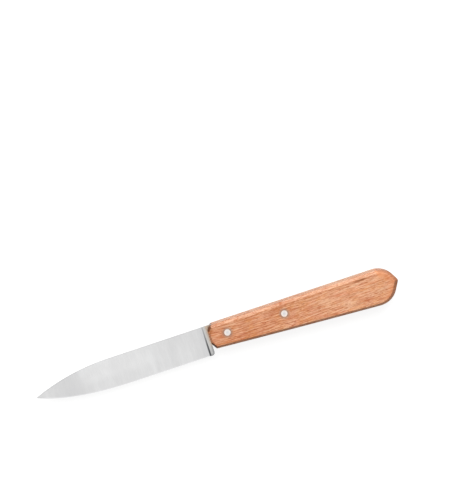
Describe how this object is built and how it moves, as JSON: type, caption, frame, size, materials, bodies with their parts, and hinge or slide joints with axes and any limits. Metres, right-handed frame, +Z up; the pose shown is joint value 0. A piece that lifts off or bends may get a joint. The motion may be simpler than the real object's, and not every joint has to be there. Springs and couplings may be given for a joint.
{
  "type": "paring knife",
  "caption": "Small kitchen knife: a flat-ground spear-point steel blade whose half tang is riveted into a slotted beech handle with chamfered edges, for peeling and paring.",
  "frame": {"origin": "under the middle of the knife's bounding box, on the surface that it lies on", "axes": "the knife lies on its side: +X from the tip to the butt, +Y from the cutting edge to the spine, +Z up through the thickness"},
  "size_m": [0.2066, 0.0192, 0.012],
  "materials": {
    "blade_steel": "satin ground",
    "handle_beech": "thin satin varnish",
    "rivet_aluminium": "sanded"
  },
  "bodies": {
    "root": {"blade": "blade_steel", "handle": "handle_beech", "front_rivet": "rivet_aluminium", "rear_rivet": "rivet_aluminium"}
  },
  "joints": []
}
